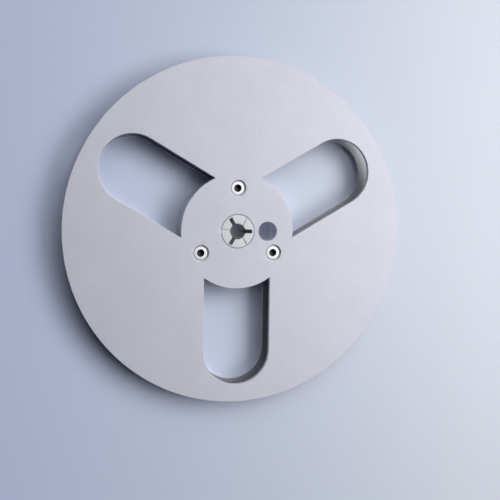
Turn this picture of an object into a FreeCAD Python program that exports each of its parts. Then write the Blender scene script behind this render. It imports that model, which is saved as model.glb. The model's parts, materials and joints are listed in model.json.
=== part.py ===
import FreeCAD, Part
import math
import os

# An empty 7 in. open-reel tape reel: two windowed flanges with inner bosses, a
# ring-shaped tape drum between them, a three-slot spindle bush through the
# middle, and three cap screws that pull both flanges together through sleeve
# nuts. Millimetres. The origin is on the spindle axis at the rear face, +Z
# points to the front face and +X to the finger hole.

# The reel as a whole
REEL_DIAMETER = 177.8
REEL_WIDTH = 13.5
FLANGE_THICKNESS = 2.0
DRUM_DIAMETER = 59.3
EDGE_BREAK = 0.25

# The three windows in each flange
WINDOW_ANGLES = (30.0, 150.0, 270.0)
WINDOW_WIDTH = 35.0
WINDOW_END_CENTRE = 62.2

# The bosses inside the drum
BOSS_DIAMETER = 55.0
SEAT_CLEARANCE = 0.05

# The finger hole
FINGER_HOLE_DIAMETER = 9.8
FINGER_HOLE_OFFSET = 16.0

# The spindle bush, for a 5/16 in. spindle with three driving vanes
BUSH_DIAMETER = 17.5
SPINDLE_BORE_DIAMETER = 8.05
BORE_LEAD_IN = 0.3
VANE_SLOT_ANGLES = (0.0, 120.0, 240.0)
VANE_SLOT_WIDTH = 1.9
VANE_SLOT_REACH = 7.7
LOCK_GROOVE_ANGLES = (60.0, 180.0, 300.0)
LOCK_GROOVE_WIDTH = 1.8
LOCK_GROOVE_DEPTH = 0.35

# M4 socket head cap screws, and sleeve nuts with heads of the same size
SCREW_ANGLES = (90.0, 210.0, 330.0)
SCREW_CIRCLE_RADIUS = 22.2
SPOT_FACE_DIAMETER = 8.5
SPOT_FACE_DEPTH = 0.8
COUNTERBORE_DIAMETER = 7.5
HEAD_SUNK = 0.7
HEAD_DIAMETER = 7.0
HEAD_HEIGHT = 4.0
HEAD_EDGE_BREAK = 0.3
SOCKET_ACROSS_FLATS = 3.0
SOCKET_MOUTH_DIAMETER = 3.9
SCREW_SOCKET_DEPTH = 2.0
NUT_SOCKET_DEPTH = 1.5
THREAD_DIAMETER = 4.0
THREAD_CLEARANCE = 0.03
THREAD_LENGTH = 6.0
THREAD_TIP_CHAMFER = 0.5
NUT_BARREL_DIAMETER = 5.5
NUT_BARREL_LENGTH = 4.0

# Places that follow from the sizes above
MID_PLANE = REEL_WIDTH / 2
DRUM_BOTTOM = FLANGE_THICKNESS
DRUM_TOP = REEL_WIDTH - FLANGE_THICKNESS
HEAD_TOP = REEL_WIDTH - HEAD_SUNK
HEAD_SEAT = HEAD_TOP - HEAD_HEIGHT
NUT_SEAT = HEAD_SUNK + HEAD_HEIGHT

# How far a cutting tool runs past the surface that it opens
OVERRUN = 1.0

Z_AXIS = FreeCAD.Vector(0, 0, 1)


def turned(outline):
    """A solid turned about the spindle axis from an outline of (radius, height) points."""
    points = [FreeCAD.Vector(radius, 0, height) for radius, height in outline]
    face = Part.Face(Part.makePolygon(points + points[:1]))
    return face.revolve(FreeCAD.Vector(0, 0, 0), Z_AXIS, 360)


def around(shape, angles):
    """Copies of a shape, turned about the spindle axis to each angle."""
    copies = []
    for angle in angles:
        copy = shape.copy()
        copy.rotate(FreeCAD.Vector(0, 0, 0), Z_AXIS, angle)
        copies.append(copy)
    return copies


def rod(diameter, bottom, top, offset=0.0):
    """A cylinder along Z, its axis at a distance along +X from the spindle axis."""
    return Part.makeCylinder(diameter / 2, top - bottom, FreeCAD.Vector(offset, 0, bottom))


def mouth_cone(diameter, top, size, offset=0.0):
    """A cone that breaks the edge of a round hole which opens upwards at the height top."""
    radius = diameter / 2
    outer = radius + size + OVERRUN
    return Part.makeCone(radius, outer, size + OVERRUN, FreeCAD.Vector(offset, 0, top - size))


def mirrored(shape):
    """The same shape on the other side of the reel's mid plane."""
    return shape.mirror(FreeCAD.Vector(0, 0, MID_PLANE), Z_AXIS)


def window_cutter():
    """A straight slot with a round outer end, bounded inside by the drum's circle."""
    bottom = DRUM_TOP - OVERRUN
    height = FLANGE_THICKNESS + 2 * OVERRUN
    corner = FreeCAD.Vector(0, -WINDOW_WIDTH / 2, bottom)
    straight = Part.makeBox(WINDOW_END_CENTRE, WINDOW_WIDTH, height, corner)
    round_end = rod(WINDOW_WIDTH, bottom, bottom + height, WINDOW_END_CENTRE)
    drum_circle = rod(DRUM_DIAMETER, bottom - OVERRUN, bottom + height + OVERRUN)
    return straight.fuse(round_end).removeSplitter().cut(drum_circle)


def window_edges(flange):
    """The flange's edges on its outer face that run round the windows."""
    found = []
    for edge in flange.Edges:
        on_face = all(abs(vertex.Z - REEL_WIDTH) < EDGE_BREAK / 10 for vertex in edge.Vertexes)
        middle = edge.valueAt((edge.FirstParameter + edge.LastParameter) / 2)
        radius = math.hypot(middle.x, middle.y)
        inside_rim = DRUM_DIAMETER / 2 - EDGE_BREAK < radius < REEL_DIAMETER / 2 - OVERRUN
        if on_face and inside_rim and abs(middle.z - REEL_WIDTH) < EDGE_BREAK / 10:
            found.append(edge)
    return found


def front_flange():
    """A windowed disc whose boss fills the front half of the drum."""
    rim = REEL_DIAMETER / 2
    bore = BUSH_DIAMETER / 2
    disc = turned([
        (bore, MID_PLANE),
        (BOSS_DIAMETER / 2, MID_PLANE),
        (BOSS_DIAMETER / 2, DRUM_TOP),
        (rim - EDGE_BREAK, DRUM_TOP),
        (rim, DRUM_TOP + EDGE_BREAK),
        (rim, REEL_WIDTH - EDGE_BREAK),
        (rim - EDGE_BREAK, REEL_WIDTH),
        (bore + EDGE_BREAK, REEL_WIDTH),
        (bore, REEL_WIDTH - EDGE_BREAK),
    ])
    disc = disc.cut(around(window_cutter(), WINDOW_ANGLES))
    disc = disc.makeChamfer(EDGE_BREAK, window_edges(disc))
    above = REEL_WIDTH + OVERRUN
    below = MID_PLANE - OVERRUN
    screw_seat = rod(COUNTERBORE_DIAMETER, HEAD_SEAT, above, SCREW_CIRCLE_RADIUS)
    screw_seat = screw_seat.fuse([
        rod(NUT_BARREL_DIAMETER + 2 * SEAT_CLEARANCE, below, above, SCREW_CIRCLE_RADIUS),
        rod(SPOT_FACE_DIAMETER, REEL_WIDTH - SPOT_FACE_DEPTH, above, SCREW_CIRCLE_RADIUS),
    ])
    finger_hole = rod(FINGER_HOLE_DIAMETER, below, above, FINGER_HOLE_OFFSET)
    finger_hole = finger_hole.fuse(
        mouth_cone(FINGER_HOLE_DIAMETER, REEL_WIDTH, EDGE_BREAK, FINGER_HOLE_OFFSET))
    return disc.cut(around(screw_seat, SCREW_ANGLES) + [finger_hole])


def rear_flange():
    """The front flange's mirror image, which fills the rear half of the drum."""
    return mirrored(front_flange())


def tape_drum():
    """The ring that the tape winds on, clamped between the flanges."""
    bore = BOSS_DIAMETER / 2 + SEAT_CLEARANCE
    outside = DRUM_DIAMETER / 2
    return turned([
        (bore, DRUM_BOTTOM),
        (outside, DRUM_BOTTOM),
        (outside, DRUM_TOP),
        (bore, DRUM_TOP),
    ])


def vane_slot():
    """A slot from the bore outwards, right through the bush."""
    corner = FreeCAD.Vector(0, -VANE_SLOT_WIDTH / 2, -OVERRUN)
    return Part.makeBox(VANE_SLOT_REACH, VANE_SLOT_WIDTH, REEL_WIDTH + 2 * OVERRUN, corner)


def lock_groove():
    """A shallow groove across the bush's front face, where a turned vane locks."""
    corner = FreeCAD.Vector(0, -LOCK_GROOVE_WIDTH / 2, REEL_WIDTH - LOCK_GROOVE_DEPTH)
    depth = LOCK_GROOVE_DEPTH + OVERRUN
    return Part.makeBox(BUSH_DIAMETER, LOCK_GROOVE_WIDTH, depth, corner)


def spindle_bush():
    """The bush pressed through both flanges, with its bore, slots and grooves."""
    bore = SPINDLE_BORE_DIAMETER / 2
    outside = BUSH_DIAMETER / 2
    bush = turned([
        (bore + BORE_LEAD_IN, 0),
        (outside - EDGE_BREAK, 0),
        (outside, EDGE_BREAK),
        (outside, REEL_WIDTH - EDGE_BREAK),
        (outside - EDGE_BREAK, REEL_WIDTH),
        (bore + BORE_LEAD_IN, REEL_WIDTH),
        (bore, REEL_WIDTH - BORE_LEAD_IN),
        (bore, BORE_LEAD_IN),
    ])
    slots = around(vane_slot(), VANE_SLOT_ANGLES)
    front_grooves = around(lock_groove(), LOCK_GROOVE_ANGLES)
    rear_grooves = [mirrored(groove) for groove in front_grooves]
    return bush.cut(slots + front_grooves + rear_grooves)


def hex_socket(top, depth):
    """A hexagonal key socket that opens upwards at the height top, with a broken edge."""
    corner_radius = SOCKET_ACROSS_FLATS / math.sqrt(3)
    bottom = top - depth
    corners = []
    for step in range(7):
        angle = math.radians(60 * step)
        corners.append(FreeCAD.Vector(
            corner_radius * math.cos(angle), corner_radius * math.sin(angle), bottom))
    prism = Part.Face(Part.makePolygon(corners)).extrude(Z_AXIS * (depth + OVERRUN))
    mouth_depth = SOCKET_MOUTH_DIAMETER / 2 - SOCKET_ACROSS_FLATS / 2
    mouth = mouth_cone(SOCKET_ACROSS_FLATS, top, mouth_depth)
    return prism.fuse(mouth)


def cap_screw():
    """An M4 socket head cap screw, its thread a plain cylinder, on the spindle axis."""
    head = HEAD_DIAMETER / 2
    thread = THREAD_DIAMETER / 2
    tip = HEAD_SEAT - THREAD_LENGTH
    body = turned([
        (0, tip),
        (thread - THREAD_TIP_CHAMFER, tip),
        (thread, tip + THREAD_TIP_CHAMFER),
        (thread, HEAD_SEAT),
        (head, HEAD_SEAT),
        (head, HEAD_TOP - HEAD_EDGE_BREAK),
        (head - HEAD_EDGE_BREAK, HEAD_TOP),
        (0, HEAD_TOP),
    ])
    return body.cut(hex_socket(HEAD_TOP, SCREW_SOCKET_DEPTH))


def sleeve_nut():
    """A round nut with a key socket at the rear, its barrel through both bosses."""
    head = HEAD_DIAMETER / 2
    barrel = NUT_BARREL_DIAMETER / 2
    thread = THREAD_DIAMETER / 2 + THREAD_CLEARANCE
    barrel_top = NUT_SEAT + NUT_BARREL_LENGTH
    body = turned([
        (0, HEAD_SUNK),
        (head - HEAD_EDGE_BREAK, HEAD_SUNK),
        (head, HEAD_SUNK + HEAD_EDGE_BREAK),
        (head, NUT_SEAT),
        (barrel, NUT_SEAT),
        (barrel, barrel_top),
        (0, barrel_top),
    ])
    socket = mirrored(hex_socket(HEAD_TOP, NUT_SOCKET_DEPTH))
    thread_hole = rod(2 * thread, HEAD_SUNK + NUT_SOCKET_DEPTH, barrel_top + OVERRUN)
    return body.cut([socket, thread_hole])


def at_screw_places(shape):
    """Copies of a fastener modelled on the spindle axis, one at each screw place."""
    moved = shape.copy()
    moved.translate(FreeCAD.Vector(SCREW_CIRCLE_RADIUS, 0, 0))
    return around(moved, SCREW_ANGLES)


def all_parts():
    """Every piece of the reel by its name."""
    parts = {
        "front_flange": front_flange(),
        "rear_flange": rear_flange(),
        "tape_drum": tape_drum(),
        "spindle_bush": spindle_bush(),
    }
    for number, screw in enumerate(at_screw_places(cap_screw()), start=1):
        parts["cap_screw_%d" % number] = screw
    for number, nut in enumerate(at_screw_places(sleeve_nut()), start=1):
        parts["sleeve_nut_%d" % number] = nut
    return parts


os.makedirs("parts", exist_ok=True)
for name, shape in all_parts().items():
    shape.exportStep("parts/%s.step" % name)
    box = shape.BoundBox
    print("%-14s valid %s, solids %d, %9.1f mm3, z %.2f to %.2f" % (
        name, shape.isValid(), len(shape.Solids), shape.Volume, box.ZMin, box.ZMax))
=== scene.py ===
import json
import math

import bmesh
import bpy
from mathutils import Matrix, Vector
from mathutils.geometry import delaunay_2d_cdt
from mathutils.kdtree import KDTree


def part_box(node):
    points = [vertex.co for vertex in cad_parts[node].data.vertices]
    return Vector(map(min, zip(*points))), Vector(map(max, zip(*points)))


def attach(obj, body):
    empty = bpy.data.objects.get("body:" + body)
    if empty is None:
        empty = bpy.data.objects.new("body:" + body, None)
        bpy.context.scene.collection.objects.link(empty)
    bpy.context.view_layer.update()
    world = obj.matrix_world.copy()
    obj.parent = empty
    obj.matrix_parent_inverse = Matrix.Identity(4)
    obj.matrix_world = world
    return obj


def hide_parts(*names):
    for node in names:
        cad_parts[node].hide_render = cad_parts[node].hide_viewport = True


# An empty 7 in. tape reel of satin aluminium, lying on a pale floor. Every visible
# piece is built here around the CAD frame, and stands for the CAD node that it copies.
# Metres, in the CAD's frame: the spindle axis is Z, the floor is at height 0, and
# +X points to the finger hole.

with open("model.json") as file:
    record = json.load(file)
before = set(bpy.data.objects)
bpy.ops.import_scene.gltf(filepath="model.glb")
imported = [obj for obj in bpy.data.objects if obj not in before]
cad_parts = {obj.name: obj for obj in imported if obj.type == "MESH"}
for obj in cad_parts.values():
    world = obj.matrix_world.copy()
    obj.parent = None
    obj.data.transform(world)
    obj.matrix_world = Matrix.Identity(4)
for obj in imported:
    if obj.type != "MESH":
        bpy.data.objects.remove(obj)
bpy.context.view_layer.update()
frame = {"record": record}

MM = 0.001


def mount(name):
    """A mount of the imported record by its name."""
    return next(each for each in frame["record"]["mounts"] if each["name"] == name)


# Sizes read from the frame
flange_low, flange_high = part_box("front_flange")
drum_low, drum_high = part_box("tape_drum")
bush_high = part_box("spindle_bush")[1]
screw_low, screw_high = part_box("cap_screw_1")
nut_low, nut_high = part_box("sleeve_nut_1")

REEL_RADIUS = flange_high.x
REEL_WIDTH = flange_high.z
MID_PLANE = flange_low.z
DRUM_RADIUS = drum_high.x
DRUM_BOTTOM = drum_low.z
DRUM_TOP = drum_high.z
BUSH_RADIUS = bush_high.x
BORE_RADIUS = mount("spindle_bore")["dims"]["r_mm"] * MM
FINGER_HOLE_RADIUS = mount("finger_hole")["dims"]["r_mm"] * MM
FINGER_HOLE_CENTRE = mount("finger_hole")["pos_m"][:2]
HEAD_RADIUS = (screw_high.x - screw_low.x) / 2
HEAD_TOP = screw_high.z
SCREW_TIP = screw_low.z
NUT_HEAD_FACE = nut_low.z
BARREL_TOP = nut_high.z

# The windows, the drum's wall and the bosses inside it
WINDOW_ANGLES = (30, 150, 270)
WINDOW_HALF_WIDTH = 17.5 * MM
WINDOW_END_CENTRE = 62.2 * MM
BOSS_RADIUS = 27.5 * MM
DRUM_BORE_RADIUS = 27.55 * MM

# The spindle bush, and the fine gap that shows as a dark line round it
BUSH_GAP = 0.15 * MM
VANE_SLOT_HALF_WIDTH = 0.95 * MM
VANE_SLOT_REACH = 7.7 * MM
LOCK_GROOVE_ANGLES = (60, 180, 300)
LOCK_GROOVE_HALF_WIDTH = 0.9 * MM
LOCK_GROOVE_DEPTH = 0.35 * MM

# The screws and nuts, and the stepped holes that they sit in
HEAD_HEIGHT = 4.0 * MM
HEAD_SEAT = HEAD_TOP - HEAD_HEIGHT
NUT_SEAT = NUT_HEAD_FACE + HEAD_HEIGHT
RECESS_RADIUS = 3.75 * MM
SPOT_FACE_RADIUS = 4.25 * MM
SPOT_FACE_DEPTH = 0.8 * MM
BARREL_RADIUS = 2.75 * MM
BARREL_HOLE_RADIUS = 2.8 * MM
SOCKET_HALF_FLATS = 1.5 * MM
SOCKET_MOUTH_RADIUS = 1.95 * MM
SCREW_SOCKET_DEPTH = 2.0 * MM
NUT_SOCKET_DEPTH = 1.5 * MM
DRILL_POINT_RADIUS = 1.2 * MM
DRILL_POINT_DEPTH = 0.4 * MM
DRILL_TIP_RADIUS = 0.05 * MM
# How far past the socket's floor the painted shade reaches
SOCKET_DARK_REACH = 0.7 * MM
KNURL_COUNT = 36
KNURL_DEPTH = 0.12 * MM
KNURL_MARGIN = 0.35 * MM
KNURL_RUN_OUT = 0.5 * KNURL_MARGIN
THREAD_RADIUS = 2.0 * MM
THREAD_CLEARANCE = 0.03 * MM
THREAD_PITCH = 0.7 * MM
THREAD_DEPTH = 0.38 * MM
THREAD_TIP_CHAMFER = 0.5 * MM

# How far each fastener is turned round its own axis, in degrees
FASTENER_TURNS = (12, 47, 31)

# The radii of rounded edges
EDGE = 0.25 * MM
HEAD_EDGE = 0.3 * MM
FINE_EDGE = 0.12 * MM

# The second material of a piece covers its inside, and its darker colour is painted shade: a
# flange's inner face, a screw's socket.
SHADED_INSIDE_MATERIAL = 1

# How finely the meshes are divided
RIM_STEPS = 360
HUB_STEPS = 180
HOLE_STEPS = 96
FASTENER_STEPS = 72
WINDOW_ARC_STEPS = 48
WINDOW_SIDE_STEPS = 16
EDGE_STEPS = 4
THREAD_RINGS_PER_TURN = 8
FACE_SPACING = 4.0 * MM
SMOOTH_LIMIT = math.radians(35)

# Most of a noise pattern's values lie between these two
NOISE_LOW = 0.3
NOISE_HIGH = 0.7

# The floor, the light and the camera
FLOOR_HALF_SIZE = 1.2
FLOOR_DIVISIONS = 24
FLOOR_FADE = (0.45, 1.1)  # the distances between which the floor fades out
FLOOR_TINTS = ((0.62, 0.68, 0.92), (0.68, 0.72, 0.80))
TINT_DRIFT = 0.13  # how far left and right of the spindle the tint still changes
KEY_PLACE = (0.417, 0.088, 0.42)
KEY_SIZE = (0.414, 0.543)
KEY_POWER = 2.25
PANELS = ((10, 50, 1.35), (80, 50, 1.85))  # azimuth, elevation and strength
PANEL_FADE = (34, 12)  # where a panel's glow starts and is full, in degrees from its middle
HORIZON_GLOW = 0.3
HORIZON_HEIGHT = 0.1
ROOM_TINT = (0.96, 0.98, 1.0)
BACKDROP_TINT = (0.56, 0.59, 0.68)
CAMERA_LENS = 43.2
CAMERA_PLACE = Vector((-82.8, 12.3, 298.3)) * MM + Vector((0, 0, REEL_WIDTH))
CAMERA_AIM = Vector((-29.6, -4.1, 0)) * MM + Vector((0, 0, REEL_WIDTH))
CAMERA_ROLL = math.radians(0.4)
CAMERA_SHIFT = (0.138, -0.021)

# ---------------------------------------------------------------- outlines
# An outline is a function that takes how far it is grown, and returns the closed loop of
# its (x, y) points. It always has as many points.


def circle(radius, steps, centre=(0, 0)):
    """The outline of a circle."""

    def points(grown=0):
        turns = [2 * math.pi * step / steps for step in range(steps)]
        size = radius + grown
        return [(centre[0] + size * math.cos(a), centre[1] + size * math.sin(a)) for a in turns]

    return points


def arc(radius, start, end, steps, centre_x=0):
    """Points along an arc, both of its ends included."""
    angles = [start + (end - start) * step / steps for step in range(steps + 1)]
    return [(centre_x + radius * math.cos(a), radius * math.sin(a)) for a in angles]


def between(start, end, steps):
    """Points evenly along a straight line, without its ends."""
    shares = [step / steps for step in range(1, steps)]
    return [tuple(a + (b - a) * share for a, b in zip(start, end)) for share in shares]


def turned(points, degrees):
    """The same points, turned round the spindle axis."""
    c = math.cos(math.radians(degrees))
    s = math.sin(math.radians(degrees))
    return [(c * x - s * y, s * x + c * y) for x, y in points]


def window(degrees):
    """The outline of a window: straight sides, a round outer end and the drum's arc."""

    def points(grown=0):
        half = WINDOW_HALF_WIDTH + grown
        inner = DRUM_RADIUS - grown
        spread = math.asin(half / inner)
        outer_end = arc(half, -math.pi / 2, math.pi / 2, WINDOW_ARC_STEPS, WINDOW_END_CENTRE)
        inner_end = arc(inner, spread, -spread, WINDOW_ARC_STEPS)
        upper_side = between(outer_end[-1], inner_end[0], WINDOW_SIDE_STEPS)
        lower_side = between(inner_end[-1], outer_end[0], WINDOW_SIDE_STEPS)
        return turned(outer_end + upper_side + inner_end + lower_side, degrees)

    return points


def slotted_bore(grown=0):
    """The outline of the spindle bore with its three vane slots."""
    radius = BORE_RADIUS + grown
    half = VANE_SLOT_HALF_WIDTH + grown
    reach = VANE_SLOT_REACH + grown
    spread = math.asin(half / radius)
    slot_end = [(reach, -half), (reach, half)]
    wall_arc = arc(radius, spread, math.radians(120) - spread, HOLE_STEPS // 4)
    third = slot_end + wall_arc
    return turned(third, 0) + turned(third, 120) + turned(third, 240)


# ---------------------------------------------------------------- mesh building


def skin(bm, rings):
    """Joins each closed ring of vertices to the next one with quads."""
    for lower, upper in zip(rings, rings[1:]):
        for i in range(len(lower)):
            bm.faces.new((lower[i - 1], lower[i], upper[i], upper[i - 1]))


def wall(bm, outline, profile):
    """A wall along an outline, from a profile of (grown, height) points.
    Returns its first and last ring of vertices."""
    rings = []
    for grown, height in profile:
        rings.append([bm.verts.new((x, y, height)) for x, y in outline(grown)])
    skin(bm, rings)
    return rings[0], rings[-1]


def edge_below(face, side, radius=EDGE):
    """The (grown, height) points of a rounded edge, from a face down into a wall.
    The side is 1 for the wall of a hole, and -1 for an outer wall."""
    points = []
    for step in range(EDGE_STEPS + 1):
        a = math.pi / 2 * step / EDGE_STEPS
        points.append((side * radius * (1 - math.sin(a)), face - radius * (1 - math.cos(a))))
    return points


def edge_above(face, side, radius=EDGE):
    """The same for an edge at the bottom of a wall, from the wall down to the face."""
    points = [(grown, 2 * face - height) for grown, height in edge_below(face, side, radius)]
    return points[::-1]


def spread_points(corners):
    """Points in an even triangular pattern around the spindle axis, clear of the corners."""
    near = KDTree(len(corners))
    for index, vertex in enumerate(corners):
        near.insert(vertex.co.xy.to_3d(), index)
    near.balance()
    row_height = FACE_SPACING * math.sqrt(3) / 2
    count = math.ceil(max(vertex.co.xy.length for vertex in corners) / row_height)
    points = []
    for row in range(-count, count + 1):
        for column in range(-count, count + 1):
            x = (column + row % 2 / 2) * FACE_SPACING
            y = row * row_height
            distance = near.find(Vector((x, y, 0)))[2]
            if distance > FACE_SPACING / 2:
                points.append(Vector((x, y)))
    return points


def cap(bm, rings, material_index=0):
    """Fills the level face that these rings bound with evenly spread triangles."""
    corners = [vertex for ring in rings for vertex in ring]
    loops = []
    for ring in rings:
        first = sum(len(loop) for loop in loops)
        loops.append(list(range(first, first + len(ring))))
    flat = [vertex.co.xy for vertex in corners] + spread_points(corners)
    inside_with_holes = 2
    merge_distance = 1e-9
    found = delaunay_2d_cdt(flat, [], loops, inside_with_holes, merge_distance)
    spots, _, faces, origins = found[:4]
    vertex_at = {}
    for index in {index for face in faces for index in face}:
        origin = origins[index][0]
        if origin < len(corners):
            vertex_at[index] = corners[origin]
        else:
            vertex_at[index] = bm.verts.new((*spots[index], corners[0].co.z))
    for face in faces:
        made = bm.faces.new([vertex_at[index] for index in face])
        made.material_index = material_index


def turn_over(bm):
    """Makes a mesh its own mirror image on the other side of the reel's mid plane."""
    for vertex in bm.verts:
        vertex.co.z = 2 * MID_PLANE - vertex.co.z


def finish_mesh(bm, name):
    """A mesh with outward faces, smooth but for its corners."""
    bmesh.ops.recalc_face_normals(bm, faces=bm.faces[:])
    for face in bm.faces:
        face.smooth = True
    for edge in bm.edges:
        edge.smooth = edge.calc_face_angle(0) < SMOOTH_LIMIT
    mesh = bpy.data.meshes.new(name)
    bm.to_mesh(mesh)
    bm.free()
    return mesh


def add_piece(node, bm, materials, place=(0, 0, 0)):
    """Finishes a mesh and shows it in place of a CAD node."""
    mesh = finish_mesh(bm, node)
    obj = bpy.data.objects.new(node + "_detailed", mesh)
    obj.location = place
    bpy.context.scene.collection.objects.link(obj)
    for each in materials:
        mesh.materials.append(each)
    weighting = obj.modifiers.new("flat faces stay flat", "WEIGHTED_NORMAL")
    weighting.keep_sharp = True
    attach(obj, "root")
    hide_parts(node)


# ---------------------------------------------------------------- the flanges, drum and bush


def fastener_places():
    """The (x, y) centres of the three screws, read from the CAD screws."""
    places = []
    for number in (1, 2, 3):
        low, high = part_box("cap_screw_%d" % number)
        places.append(((low + high) / 2).xy)
    return places


def flange_mesh():
    """The front flange: a windowed disc with its boss, as one closed mesh."""
    bm = bmesh.new()
    outer_face = []
    inner_face = []
    boss_face = []

    rim = edge_below(REEL_WIDTH, -1) + edge_above(DRUM_TOP, -1)
    top, bottom = wall(bm, circle(REEL_RADIUS, RIM_STEPS), rim)
    outer_face.append(top)
    inner_face.append(bottom)

    window_wall = edge_below(REEL_WIDTH, 1) + edge_above(DRUM_TOP, 1, FINE_EDGE)
    for degrees in WINDOW_ANGLES:
        top, bottom = wall(bm, window(degrees), window_wall)
        outer_face.append(top)
        inner_face.append(bottom)

    boss_wall = [(0, DRUM_TOP)] + edge_above(MID_PLANE, -1, FINE_EDGE)
    top, bottom = wall(bm, circle(BOSS_RADIUS, HUB_STEPS), boss_wall)
    inner_face.append(top)
    boss_face.append(bottom)

    plain_hole = edge_below(REEL_WIDTH, 1) + edge_above(MID_PLANE, 1, FINE_EDGE)
    recess = RECESS_RADIUS - SPOT_FACE_RADIUS
    barrel_hole = BARREL_HOLE_RADIUS - SPOT_FACE_RADIUS
    stepped_hole = edge_below(REEL_WIDTH, 1, FINE_EDGE) + [
        (0, REEL_WIDTH - SPOT_FACE_DEPTH),
        (recess, REEL_WIDTH - SPOT_FACE_DEPTH),
        (recess, HEAD_SEAT),
        (barrel_hole, HEAD_SEAT),
        (barrel_hole, MID_PLANE),
    ]
    holes = [
        (circle(BUSH_RADIUS, HUB_STEPS), plain_hole),
        (circle(FINGER_HOLE_RADIUS, HOLE_STEPS, FINGER_HOLE_CENTRE), plain_hole),
    ]
    for place in fastener_places():
        holes.append((circle(SPOT_FACE_RADIUS, HOLE_STEPS, place), stepped_hole))
    for outline, profile in holes:
        top, bottom = wall(bm, outline, profile)
        outer_face.append(top)
        boss_face.append(bottom)

    cap(bm, outer_face)
    # The inner face and the boss face get the second material: painted shade for the gap between
    # the flanges
    cap(bm, inner_face, SHADED_INSIDE_MATERIAL)
    cap(bm, boss_face, SHADED_INSIDE_MATERIAL)
    return bm


def drum_mesh():
    """The ring that the tape winds on."""
    bm = bmesh.new()
    outside = edge_below(DRUM_TOP, -1, FINE_EDGE) + edge_above(DRUM_BOTTOM, -1, FINE_EDGE)
    inside = [(0, DRUM_BOTTOM), (0, DRUM_TOP)]
    outer_top, outer_bottom = wall(bm, circle(DRUM_RADIUS, RIM_STEPS), outside)
    inner_bottom, inner_top = wall(bm, circle(DRUM_BORE_RADIUS, RIM_STEPS), inside)
    skin(bm, [outer_bottom, inner_bottom])
    skin(bm, [inner_top, outer_top])
    return bm


def bush_blank():
    """The spindle bush before its lock grooves are cut."""
    bm = bmesh.new()
    outside = edge_below(REEL_WIDTH, -1) + edge_above(0, -1)
    inside = edge_below(REEL_WIDTH, 1, FINE_EDGE) + edge_above(0, 1, FINE_EDGE)
    outer_top, outer_bottom = wall(bm, circle(BUSH_RADIUS - BUSH_GAP, HUB_STEPS), outside)
    inner_top, inner_bottom = wall(bm, slotted_bore, inside)
    cap(bm, [outer_top, inner_top])
    cap(bm, [outer_bottom, inner_bottom])
    return bm


def groove_cutter(degrees):
    """A bar that cuts one lock groove with rounded edges into the bush's front face."""
    bm = bmesh.new()
    overrun = 1.0 * MM
    half = [(LOCK_GROOVE_HALF_WIDTH, REEL_WIDTH - LOCK_GROOVE_DEPTH)]
    for grown, height in reversed(edge_below(REEL_WIDTH, 1, FINE_EDGE)):
        half.append((LOCK_GROOVE_HALF_WIDTH + grown, height))
    half.append((LOCK_GROOVE_HALF_WIDTH + FINE_EDGE, REEL_WIDTH + overrun))
    section = half + [(-across, height) for across, height in reversed(half)]
    ends = []
    for along in (BORE_RADIUS / 2, BUSH_RADIUS + overrun):
        ring = [bm.verts.new((along, across, height)) for across, height in section]
        ends.append(ring)
        bm.faces.new(ring)
    skin(bm, ends)
    bmesh.ops.rotate(bm, verts=bm.verts[:], matrix=Matrix.Rotation(math.radians(degrees), 3, "Z"))
    return bm


def bush_mesh():
    """The spindle bush with three lock grooves in each face."""
    blank = finish_mesh(bush_blank(), "bush_blank")
    bush = bpy.data.objects.new("bush_blank", blank)
    bpy.context.scene.collection.objects.link(bush)
    cutters = []
    for degrees in LOCK_GROOVE_ANGLES:
        for at_rear in (False, True):
            bm = groove_cutter(degrees)
            if at_rear:
                turn_over(bm)
            cutter = bpy.data.objects.new("groove_cutter", finish_mesh(bm, "groove_cutter"))
            bpy.context.scene.collection.objects.link(cutter)
            cutters.append(cutter)
            cut = bush.modifiers.new("groove", "BOOLEAN")
            cut.operation = "DIFFERENCE"
            cut.solver = "EXACT"
            cut.object = cutter
    shown = bush.evaluated_get(bpy.context.evaluated_depsgraph_get())
    bm = bmesh.new()
    bm.from_mesh(shown.to_mesh())
    for obj in cutters + [bush]:
        bpy.data.objects.remove(obj)
    return bm


# ---------------------------------------------------------------- the screws and nuts
# They are built around their own axis. A ring's shape is a function that takes the angle
# and returns the (radius, height) of the ring there.


def level(radius, height):
    """A round ring."""
    return lambda angle: (radius, height)


def hexagon_radius(angle):
    """How far the key socket's side is from the axis at an angle."""
    from_flat_middle = angle % (math.pi / 3) - math.pi / 6
    return SOCKET_HALF_FLATS / math.cos(from_flat_middle)


def hexagon(height):
    """A ring along the key socket's sides."""
    return lambda angle: (hexagon_radius(angle), height)


def socket_mouth(face, inward):
    """Where the cone at the socket's mouth meets its six sides. Inward is -1 or 1 along Z."""
    return lambda angle: (
        hexagon_radius(angle),
        face + inward * (SOCKET_MOUTH_RADIUS - hexagon_radius(angle)))


def knurled(height):
    """A ring round the head's knurled side."""
    return lambda angle: (
        HEAD_RADIUS - KNURL_DEPTH * (1 - math.cos(KNURL_COUNT * angle)) / 2, height)


def threaded(height, crest, limit=math.inf):
    """A ring through the thread at a height. The crest is its largest radius, and the
    limit cuts it off where the end is chamfered."""

    flank_slope = 1.5
    flat_crest = 0.25

    def shape(angle):
        phase = (height / THREAD_PITCH - angle / (2 * math.pi)) % 1
        from_crest = 1 - abs(2 * phase - 1)
        depth = min(max(flank_slope * from_crest - flat_crest, 0), 1)
        return (min(crest - THREAD_DEPTH * depth, limit), height)

    return shape


def rounded(radius, points):
    """Rings along a rounded edge, whose points say how far the radius is grown."""
    return [level(radius + grown, height) for grown, height in points]


def thread_heights(low, high):
    """Heights for rings along a thread, both of its ends included."""
    count = math.ceil((high - low) / THREAD_PITCH * THREAD_RINGS_PER_TURN)
    return [low + (high - low) * step / count for step in range(count + 1)]


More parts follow.
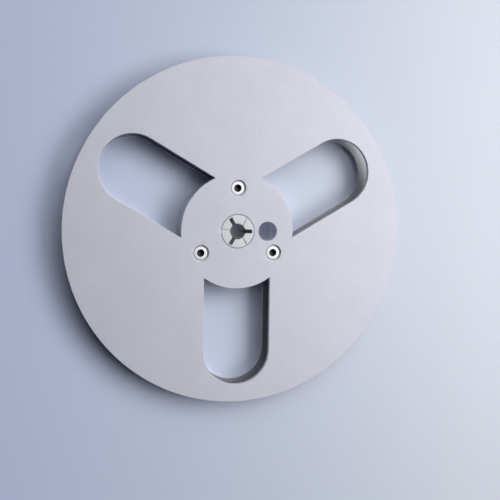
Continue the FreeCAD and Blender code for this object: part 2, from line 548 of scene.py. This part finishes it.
def fastener_rings(bm, shapes):
    """One ring of vertices for each ring shape."""
    rings = []
    for shape in shapes:
        ring = []
        for step in range(FASTENER_STEPS):
            angle = 2 * math.pi * step / FASTENER_STEPS
            radius, height = shape(angle)
            ring.append(bm.verts.new((radius * math.cos(angle), radius * math.sin(angle), height)))
        rings.append(ring)
    return rings


def darken_socket(bm, is_near_socket):
    """Gives the faces inside the key socket, and just past its floor, the inside material, whose
    dark colour is painted shade.
    """
    for face in bm.faces:
        middle = face.calc_center_median()
        inside = middle.xy.length < SOCKET_MOUTH_RADIUS
        if inside and is_near_socket(middle.z):
            face.material_index = SHADED_INSIDE_MATERIAL


def screw_mesh():
    """A socket head cap screw with its thread."""
    bm = bmesh.new()
    floor = HEAD_TOP - SCREW_SOCKET_DEPTH
    shapes = [
        level(DRILL_TIP_RADIUS, floor - DRILL_POINT_DEPTH),
        level(DRILL_POINT_RADIUS, floor),
        hexagon(floor),
        socket_mouth(HEAD_TOP, -1),
        level(SOCKET_MOUTH_RADIUS, HEAD_TOP),
    ]
    shapes += rounded(HEAD_RADIUS, edge_below(HEAD_TOP, -1, HEAD_EDGE))
    shapes += [
        level(HEAD_RADIUS, HEAD_TOP - KNURL_MARGIN),
        knurled(HEAD_TOP - KNURL_MARGIN - KNURL_RUN_OUT),
        knurled(HEAD_SEAT + KNURL_MARGIN),
        level(HEAD_RADIUS - KNURL_DEPTH, HEAD_SEAT + KNURL_RUN_OUT),
    ]
    shapes += rounded(HEAD_RADIUS - KNURL_DEPTH, edge_above(HEAD_SEAT, -1, FINE_EDGE))
    shapes.append(level(THREAD_RADIUS, HEAD_SEAT))
    for height in reversed(thread_heights(SCREW_TIP, HEAD_SEAT - THREAD_PITCH)):
        limit = THREAD_RADIUS - THREAD_TIP_CHAMFER + height - SCREW_TIP
        shapes.append(threaded(height, THREAD_RADIUS, limit))
    rings = fastener_rings(bm, shapes)
    skin(bm, rings)
    bm.faces.new(rings[0])
    bm.faces.new(rings[-1])
    darken_socket(bm, lambda height: height > floor - SOCKET_DARK_REACH)
    return bm


def nut_mesh():
    """A sleeve nut: a screw-like head at the rear and a threaded barrel."""
    bm = bmesh.new()
    floor = NUT_HEAD_FACE + NUT_SOCKET_DEPTH
    crest = THREAD_RADIUS + THREAD_CLEARANCE
    shapes = [
        hexagon(floor),
        socket_mouth(NUT_HEAD_FACE, 1),
        level(SOCKET_MOUTH_RADIUS, NUT_HEAD_FACE),
    ]
    shapes += rounded(HEAD_RADIUS, reversed(edge_above(NUT_HEAD_FACE, -1, HEAD_EDGE)))
    shapes += rounded(HEAD_RADIUS, reversed(edge_below(NUT_SEAT, -1, FINE_EDGE)))
    shapes.append(level(BARREL_RADIUS, NUT_SEAT))
    shapes += rounded(BARREL_RADIUS, reversed(edge_below(BARREL_TOP, -1, FINE_EDGE)))
    for height in reversed(thread_heights(floor, BARREL_TOP)):
        shapes.append(threaded(height, crest))
    rings = fastener_rings(bm, shapes)
    skin(bm, rings + rings[:1])
    darken_socket(bm, lambda height: height < floor + SOCKET_DARK_REACH)
    return bm


# ---------------------------------------------------------------- materials


def new_material(name, colour, roughness, metallic=1.0):
    """A material with its principled shader, and its shader node."""
    material = bpy.data.materials.new(name)
    material.use_nodes = True
    shader = material.node_tree.nodes["Principled BSDF"]
    shader.inputs["Base Color"].default_value = (*colour, 1)
    shader.inputs["Roughness"].default_value = roughness
    shader.inputs["Metallic"].default_value = metallic
    return material, shader


def add_node(material, kind, inputs=None, **properties):
    """A node with some inputs and properties set. An input that is a socket is linked."""
    made = material.node_tree.nodes.new("ShaderNode" + kind)
    for name, value in properties.items():
        setattr(made, name, value)
    for key, value in (inputs or {}).items():
        if isinstance(value, bpy.types.NodeSocket):
            material.node_tree.links.new(value, made.inputs[key])
        else:
            made.inputs[key].default_value = value
    return made


def noise(material, grain, stretch=(1, 1, 1), detail=3.0, vector=None):
    """A noise pattern whose grain has about this size in metres, stretched along the axes.
    Its output runs from 0 to 1."""
    if vector is None:
        vector = add_node(material, "TexCoord").outputs["Object"]
    scale = tuple(1 / (grain * each) for each in stretch)
    scaled = add_node(material, "Mapping", {"Vector": vector, "Scale": scale})
    pattern = add_node(material, "TexNoise", {
        "Vector": scaled.outputs["Vector"],
        "Scale": 1.0,
        "Detail": detail,
    })
    return pattern.outputs["Fac"]


def spread_over(material, value, low, high):
    """Maps a noise value to a range of numbers."""
    ranged = add_node(material, "MapRange", {
        "Value": value,
        "From Min": NOISE_LOW,
        "From Max": NOISE_HIGH,
        "To Min": low,
        "To Max": high,
    })
    return ranged.outputs["Result"]


def vary_colour(material, shader, value, dark, light):
    """Lets the base colour run between two colours with a noise value."""
    mixed = add_node(material, "Mix", data_type="RGBA")
    factor = next(each for each in mixed.inputs if each.name == "Factor" and each.type == "VALUE")
    first, second = (each for each in mixed.inputs if each.type == "RGBA")
    material.node_tree.links.new(spread_over(material, value, 0, 1), factor)
    first.default_value = (*dark, 1)
    second.default_value = (*light, 1)
    output = next(each for each in mixed.outputs if each.type == "RGBA")
    material.node_tree.links.new(output, shader.inputs["Base Color"])


def vary_roughness(material, shader, value, low, high):
    """Lets the roughness run between two numbers with a noise value."""
    material.node_tree.links.new(
        spread_over(material, value, low, high), shader.inputs["Roughness"])


def add_bumps(material, shader, layers):
    """Raises the surface by noise values. A layer is a value and its height in metres."""
    normal = None
    for value, height in layers:
        inputs = {"Height": value, "Strength": 1.0, "Distance": height}
        if normal is not None:
            inputs["Normal"] = normal
        normal = add_node(material, "Bump", inputs).outputs["Normal"]
    material.node_tree.links.new(normal, shader.inputs["Normal"])


def around_spindle(material):
    """Coordinates that follow turning marks: radius and height, with no change around."""
    place = add_node(material, "TexCoord").outputs["Object"]
    flat = add_node(
        material, "VectorMath", {0: place, 1: (1, 1, 0)}, operation="MULTIPLY").outputs["Vector"]
    radius = add_node(material, "VectorMath", {0: flat}, operation="LENGTH").outputs["Value"]
    height = add_node(material, "SeparateXYZ", {"Vector": place}).outputs["Z"]
    return add_node(material, "CombineXYZ", {"X": radius, "Z": height}).outputs["Vector"]


def satin_aluminium():
    """The flanges: fine matt blasted aluminium with a clear anodised skin."""
    material, shader = new_material("satin_aluminium", (0.805, 0.805, 0.86), 0.83)
    clouds = noise(material, 18 * MM, detail=4.0)
    vary_colour(material, shader, clouds, (0.795, 0.795, 0.85), (0.815, 0.815, 0.87))
    vary_roughness(material, shader, noise(material, 2.5 * MM), 0.81, 0.85)
    grain = noise(material, 0.12 * MM, detail=2.0)
    hairlines = noise(material, 0.15 * MM, stretch=(1, 60, 1), detail=2.0)
    add_bumps(material, shader, [(grain, 0.004 * MM), (hairlines, 0.0015 * MM)])
    return material


def turned_aluminium(name, colour, roughness, mark_height):
    """Turned aluminium with fine marks that run round the spindle axis."""
    material, shader = new_material(name, colour, roughness)
    clouds = noise(material, 5 * MM)
    darker = tuple(0.96 * each for each in colour)
    vary_colour(material, shader, clouds, darker, colour)
    vary_roughness(material, shader, noise(material, 1.0 * MM), roughness - 0.04, roughness + 0.04)
    marks = noise(material, 0.09 * MM, detail=2.0, vector=around_spindle(material))
    grain = noise(material, 0.1 * MM, detail=2.0)
    add_bumps(material, shader, [(marks, mark_height), (grain, 0.002 * MM)])
    return material


def nickel_plate(name, colour, roughness):
    """Bright nickel-plated steel with the marks of the facing tool."""
    material, shader = new_material(name, colour, roughness)
    stains = noise(material, 0.8 * MM, detail=4.0)
    darker = tuple(0.93 * each for each in colour)
    vary_colour(material, shader, stains, darker, colour)
    vary_roughness(material, shader, noise(material, 0.3 * MM), roughness - 0.04, roughness + 0.06)
    marks = noise(material, 0.06 * MM, detail=2.0, vector=around_spindle(material))
    add_bumps(material, shader, [(marks, 0.0015 * MM)])
    return material


def socket_painted_shade():
    """Painted shade inside a key socket: a near-black colour that stands in for the shade in its
    deep hole.
    """
    material, shader = new_material("socket_painted_shade", (0.05, 0.05, 0.055), 0.45)
    # The painted shade is mottled a little in colour and roughness
    shade_mottle = noise(material, 0.4 * MM)
    vary_colour(material, shader, shade_mottle, (0.03, 0.03, 0.033), (0.07, 0.07, 0.075))
    vary_roughness(material, shader, shade_mottle, 0.4, 0.6)
    return material


def table_top():
    """The pale floor: its tint drifts from one side to the other, and it fades out far away."""
    material, shader = new_material("table_top", FLOOR_TINTS[1], 0.6, metallic=0.0)
    place = add_node(material, "TexCoord").outputs["Object"]
    across = add_node(material, "SeparateXYZ", {"Vector": place}).outputs["X"]
    drift = add_node(material, "MapRange", {
        "Value": across,
        "From Min": -TINT_DRIFT,
        "From Max": TINT_DRIFT,
        "To Min": NOISE_LOW,
        "To Max": NOISE_HIGH,
    })
    vary_colour(material, shader, drift.outputs["Result"], *FLOOR_TINTS)
    distance = add_node(material, "VectorMath", {0: place}, operation="LENGTH").outputs["Value"]
    fade = add_node(material, "MapRange", {
        "Value": distance,
        "From Min": FLOOR_FADE[0],
        "From Max": FLOOR_FADE[1],
        "To Min": 1.0,
        "To Max": 0.0,
    }, interpolation_type="SMOOTHSTEP")
    material.node_tree.links.new(fade.outputs["Result"], shader.inputs["Alpha"])
    return material


# ---------------------------------------------------------------- the object


def build_reel():
    """All ten pieces of the reel."""
    flange = [
        satin_aluminium(),
        # Painted shade: the inner faces are darker than the outer face because they lie in the gap
        # between the flanges. The turned marks on them are real.
        turned_aluminium("turned_inside_shaded", (0.51, 0.51, 0.53), 0.64, 0.002 * MM),
    ]
    add_piece("front_flange", flange_mesh(), flange)
    rear = flange_mesh()
    turn_over(rear)
    add_piece("rear_flange", rear, flange)

    drum = turned_aluminium("turned_drum", (0.66, 0.665, 0.68), 0.55, 0.002 * MM)
    add_piece("tape_drum", drum_mesh(), [drum])
    bush = turned_aluminium("turned_bush", (0.66, 0.665, 0.68), 0.62, 0.003 * MM)
    add_piece("spindle_bush", bush_mesh(), [bush])

    # The sockets of the screws and nuts get painted shade as their second material
    socket = socket_painted_shade()
    screw_metals = [nickel_plate("nickel_screw", (0.92, 0.92, 0.93), 0.64), socket]
    nut_metals = [nickel_plate("nickel_nut", (0.90, 0.90, 0.91), 0.46), socket]
    for number, (x, y) in enumerate(fastener_places(), start=1):
        turn = Matrix.Rotation(math.radians(FASTENER_TURNS[number - 1]), 3, "Z")
        fasteners = [
            ("cap_screw_%d" % number, screw_mesh(), screw_metals, "screw_steel"),
            ("sleeve_nut_%d" % number, nut_mesh(), nut_metals, "nut_steel"),
        ]
        for node, bm, metals, slot_name in fasteners:
            bmesh.ops.rotate(bm, verts=bm.verts[:], matrix=turn)
            add_piece(node, bm, metals, (x, y, 0))


# ---------------------------------------------------------------- floor, light and camera


def add_floor():
    """A wide level floor that the reel lies on."""
    bm = bmesh.new()
    bmesh.ops.create_grid(
        bm, x_segments=FLOOR_DIVISIONS, y_segments=FLOOR_DIVISIONS, size=FLOOR_HALF_SIZE)
    mesh = bpy.data.meshes.new("floor")
    bm.to_mesh(mesh)
    bm.free()
    mesh.materials.append(table_top())
    floor = bpy.data.objects.new("floor", mesh)
    bpy.context.scene.collection.objects.link(floor)


def add_key_light():
    """A large soft box above the reel, to its upper right."""
    data = bpy.data.lights.new("key", "AREA")
    data.shape = "RECTANGLE"
    data.size, data.size_y = KEY_SIZE
    data.energy = KEY_POWER
    light = bpy.data.objects.new("key", data)
    light.location = KEY_PLACE
    light.visible_camera = False
    bpy.context.scene.collection.objects.link(light)


def panel_glow(world, direction, azimuth, elevation, strength):
    """The glow of one round soft panel, far away in a direction given in degrees."""
    across = math.cos(math.radians(elevation))
    towards = (
        across * math.cos(math.radians(azimuth)),
        across * math.sin(math.radians(azimuth)),
        math.sin(math.radians(elevation)))
    nearness = add_node(world, "VectorMath", {0: direction, 1: towards}, operation="DOT_PRODUCT")
    glow = add_node(world, "MapRange", {
        "Value": nearness.outputs["Value"],
        "From Min": math.cos(math.radians(PANEL_FADE[0])),
        "From Max": math.cos(math.radians(PANEL_FADE[1])),
        "To Min": 0.0,
        "To Max": strength,
    }, interpolation_type="SMOOTHSTEP")
    return glow.outputs["Result"]


def add_world():
    """A dark room with soft panels to the right and at the back, and a pale horizon."""
    world = bpy.data.worlds.new("studio")
    world.use_nodes = True
    direction = add_node(world, "TexCoord").outputs["Generated"]
    height = add_node(world, "SeparateXYZ", {"Vector": direction}).outputs["Z"]
    glow = add_node(world, "MapRange", {
        "Value": height,
        "From Min": 0.0,
        "From Max": HORIZON_HEIGHT,
        "To Min": HORIZON_GLOW,
        "To Max": 0.0,
    }, interpolation_type="SMOOTHSTEP").outputs["Result"]
    for azimuth, elevation, strength in PANELS:
        panel = panel_glow(world, direction, azimuth, elevation, strength)
        glow = add_node(world, "Math", {0: glow, 1: panel}, operation="ADD").outputs["Value"]
    room = world.node_tree.nodes["Background"]
    room.inputs["Color"].default_value = (*ROOM_TINT, 1)
    world.node_tree.links.new(glow, room.inputs["Strength"])

    # The lens sees an even pale wall instead, which lights nothing.
    wall_seen = add_node(world, "Background", {"Color": (*BACKDROP_TINT, 1)})
    seen = add_node(world, "LightPath").outputs["Is Camera Ray"]
    either = add_node(world, "MixShader", {0: seen, 1: room.outputs[0], 2: wall_seen.outputs[0]})
    output = world.node_tree.nodes["World Output"]
    world.node_tree.links.new(either.outputs[0], output.inputs["Surface"])
    bpy.context.scene.world = world


def add_camera():
    """The camera at the photograph's viewing angle."""
    data = bpy.data.cameras.new("camera")
    data.lens = CAMERA_LENS
    data.shift_x, data.shift_y = CAMERA_SHIFT
    data.clip_start = 0.01
    data.clip_end = 20
    camera = bpy.data.objects.new("camera", data)
    camera.location = CAMERA_PLACE
    camera.rotation_mode = "QUATERNION"
    back = (CAMERA_PLACE - CAMERA_AIM).normalized()
    right = Vector((0, 1, 0)).cross(back).normalized()
    level_camera = Matrix((right, back.cross(right), back)).transposed()
    turn = level_camera @ Matrix.Rotation(CAMERA_ROLL, 3, "Z")
    camera.rotation_quaternion = turn.to_quaternion()
    bpy.context.scene.collection.objects.link(camera)
    bpy.context.scene.camera = camera


build_reel()
add_floor()
add_key_light()
add_world()
add_camera()
bpy.context.scene.view_settings.view_transform = "Standard"
